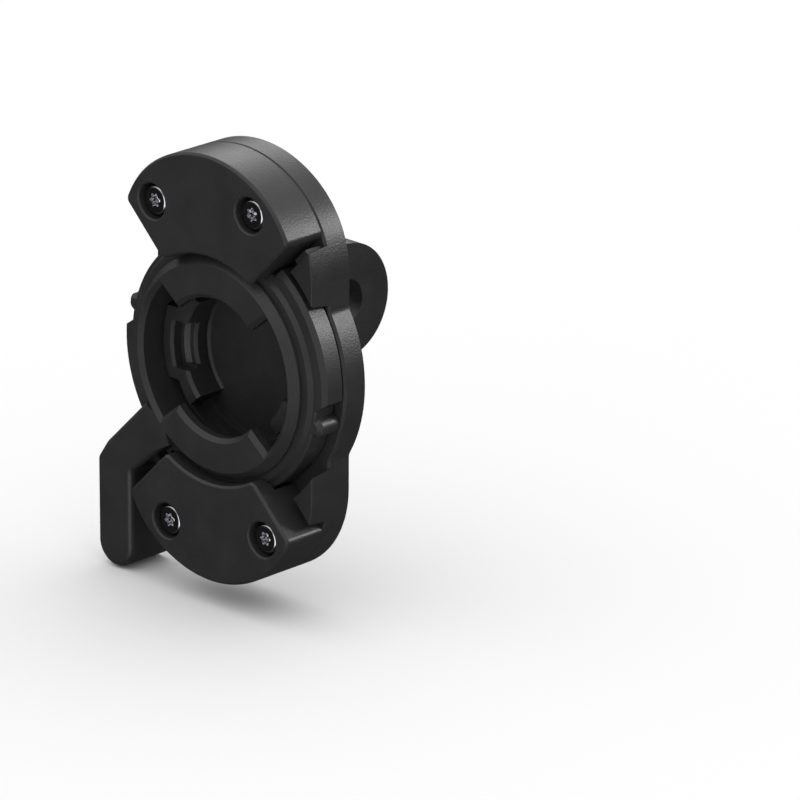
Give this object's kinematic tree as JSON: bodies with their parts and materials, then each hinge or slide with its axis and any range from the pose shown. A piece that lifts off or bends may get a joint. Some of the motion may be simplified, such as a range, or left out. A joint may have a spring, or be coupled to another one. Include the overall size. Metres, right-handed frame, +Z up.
{
  "type": "bike saddle rail mount",
  "caption": "Bicycle mount with a rear finger for a saddle rail clamp and a bayonet socket whose lock ring is held by screwed clamp plates and turned by a side thumb lever.",
  "frame": {"origin": "centre of the bayonet socket in the flat front face of the lock ring's collar", "axes": "+X to the right seen from the front, +Y back towards the finger and the saddle rails, +Z up"},
  "size_m": [0.0383, 0.0301, 0.0579],
  "materials": {
    "base_plastic": "glass-filled black plastic, fine spark-eroded grain",
    "ring_plastic": "glass-filled black plastic, fine spark-eroded grain",
    "clamp_plastic": "glass-filled black plastic, fine spark-eroded grain",
    "screw_steel": "dark oxide finish with bare metal on the edges",
    "insert_brass": "turned brass"
  },
  "bodies": {
    "base": {"base_plate": "base_plastic", "upper_clamp": "clamp_plastic", "lower_clamp": "clamp_plastic", "upper_left_screw": "screw_steel", "upper_right_screw": "screw_steel", "lower_right_screw": "screw_steel", "lower_left_screw": "screw_steel", "upper_left_insert": "insert_brass", "upper_right_insert": "insert_brass", "lower_right_insert": "insert_brass", "lower_left_insert": "insert_brass"},
    "ring": {"lock_ring": "ring_plastic"}
  },
  "joints": [
    {"name": "lock_turn", "type": "hinge", "parent": "base", "child": "ring", "pos_m": [0, 0, 0], "axis": [0, 1, 0], "range_deg": [0, 35]}
  ]
}
